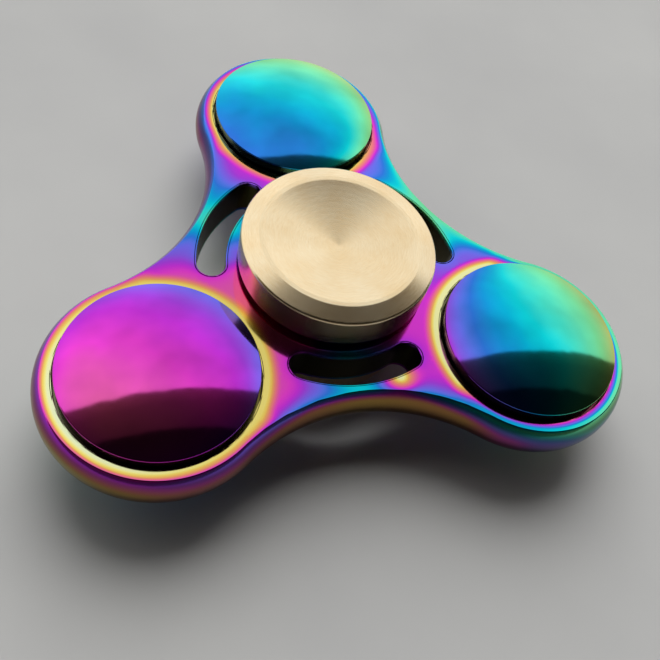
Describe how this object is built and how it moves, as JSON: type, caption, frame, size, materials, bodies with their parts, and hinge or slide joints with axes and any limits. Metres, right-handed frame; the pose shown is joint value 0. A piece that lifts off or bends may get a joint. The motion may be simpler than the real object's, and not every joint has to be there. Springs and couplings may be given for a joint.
{
  "type": "fidget spinner",
  "caption": "Three-lobed metal fidget spinner: a rainbow-plated body with domed weight caps turns on a small ball bearing between two brass finger buttons.",
  "frame": {"origin": "middle of the bearing, on the spin axis and halfway through the thickness of the body", "axes": "+Z along the spin axis towards the upper button, +Y from the spin axis through the middle of the first lobe"},
  "size_m": [0.0652, 0.0598, 0.015],
  "materials": {
    "body_rainbow": "mirror-bright rainbow interference coating over die-cast zinc alloy",
    "cap_rainbow": "mirror-bright rainbow interference coating over turned steel",
    "bearing_steel": "ground bearing steel",
    "ball_steel": "polished bearing steel",
    "cage_steel": "pressed stainless steel",
    "button_brass": "turned pale brass with fine circular brushing"
  },
  "bodies": {
    "hub": {"button_top": "button_brass", "button_bottom": "button_brass", "bearing_inner_ring": "bearing_steel"},
    "rotor": {"frame": "body_rainbow", "weight_cap_top_1": "cap_rainbow", "weight_cap_top_2": "cap_rainbow", "weight_cap_top_3": "cap_rainbow", "weight_cap_bottom_1": "cap_rainbow", "weight_cap_bottom_2": "cap_rainbow", "weight_cap_bottom_3": "cap_rainbow", "bearing_outer_ring": "bearing_steel"},
    "cage": {"bearing_cage": "cage_steel"},
    "ball_1": {"ball_1": "ball_steel"},
    "ball_2": {"ball_2": "ball_steel"},
    "ball_3": {"ball_3": "ball_steel"},
    "ball_4": {"ball_4": "ball_steel"},
    "ball_5": {"ball_5": "ball_steel"},
    "ball_6": {"ball_6": "ball_steel"},
    "ball_7": {"ball_7": "ball_steel"},
    "ball_8": {"ball_8": "ball_steel"},
    "ball_9": {"ball_9": "ball_steel"},
    "ball_10": {"ball_10": "ball_steel"}
  },
  "joints": [
    {"name": "rotor_spin", "type": "hinge", "parent": "hub", "child": "rotor", "pos_m": [0, 0, 0], "axis": [0, 0, 1], "continuous": true},
    {"name": "cage_spin", "type": "hinge", "parent": "hub", "child": "cage", "pos_m": [0, 0, 0], "axis": [0, 0, 1], "continuous": true},
    {"name": "ball_1_roll", "type": "hinge", "parent": "cage", "child": "ball_1", "pos_m": [0.00476, 0, 0], "axis": [0, 0, 1], "continuous": true},
    {"name": "ball_2_roll", "type": "hinge", "parent": "cage", "child": "ball_2", "pos_m": [0.00385, 0.0028, 0], "axis": [0, 0, 1], "continuous": true},
    {"name": "ball_3_roll", "type": "hinge", "parent": "cage", "child": "ball_3", "pos_m": [0.00147, 0.00453, 0], "axis": [0, 0, 1], "continuous": true},
    {"name": "ball_4_roll", "type": "hinge", "parent": "cage", "child": "ball_4", "pos_m": [-0.00147, 0.00453, 0], "axis": [0, 0, 1], "continuous": true},
    {"name": "ball_5_roll", "type": "hinge", "parent": "cage", "child": "ball_5", "pos_m": [-0.00385, 0.0028, 0], "axis": [0, 0, 1], "continuous": true},
    {"name": "ball_6_roll", "type": "hinge", "parent": "cage", "child": "ball_6", "pos_m": [-0.00476, 0, 0], "axis": [0, 0, 1], "continuous": true},
    {"name": "ball_7_roll", "type": "hinge", "parent": "cage", "child": "ball_7", "pos_m": [-0.00385, -0.0028, 0], "axis": [0, 0, 1], "continuous": true},
    {"name": "ball_8_roll", "type": "hinge", "parent": "cage", "child": "ball_8", "pos_m": [-0.00147, -0.00453, 0], "axis": [0, 0, 1], "continuous": true},
    {"name": "ball_9_roll", "type": "hinge", "parent": "cage", "child": "ball_9", "pos_m": [0.00147, -0.00453, 0], "axis": [0, 0, 1], "continuous": true},
    {"name": "ball_10_roll", "type": "hinge", "parent": "cage", "child": "ball_10", "pos_m": [0.00385, -0.0028, 0], "axis": [0, 0, 1], "continuous": true}
  ],
  "couplings": [
    {"joint": "cage_spin", "follows": "rotor_spin", "ratio": 0.60415},
    {"joint": "ball_1_roll", "follows": "rotor_spin", "ratio": 2.2963},
    {"joint": "ball_2_roll", "follows": "rotor_spin", "ratio": 2.2963},
    {"joint": "ball_3_roll", "follows": "rotor_spin", "ratio": 2.2963},
    {"joint": "ball_4_roll", "follows": "rotor_spin", "ratio": 2.2963},
    {"joint": "ball_5_roll", "follows": "rotor_spin", "ratio": 2.2963},
    {"joint": "ball_6_roll", "follows": "rotor_spin", "ratio": 2.2963},
    {"joint": "ball_7_roll", "follows": "rotor_spin", "ratio": 2.2963},
    {"joint": "ball_8_roll", "follows": "rotor_spin", "ratio": 2.2963},
    {"joint": "ball_9_roll", "follows": "rotor_spin", "ratio": 2.2963},
    {"joint": "ball_10_roll", "follows": "rotor_spin", "ratio": 2.2963}
  ]
}
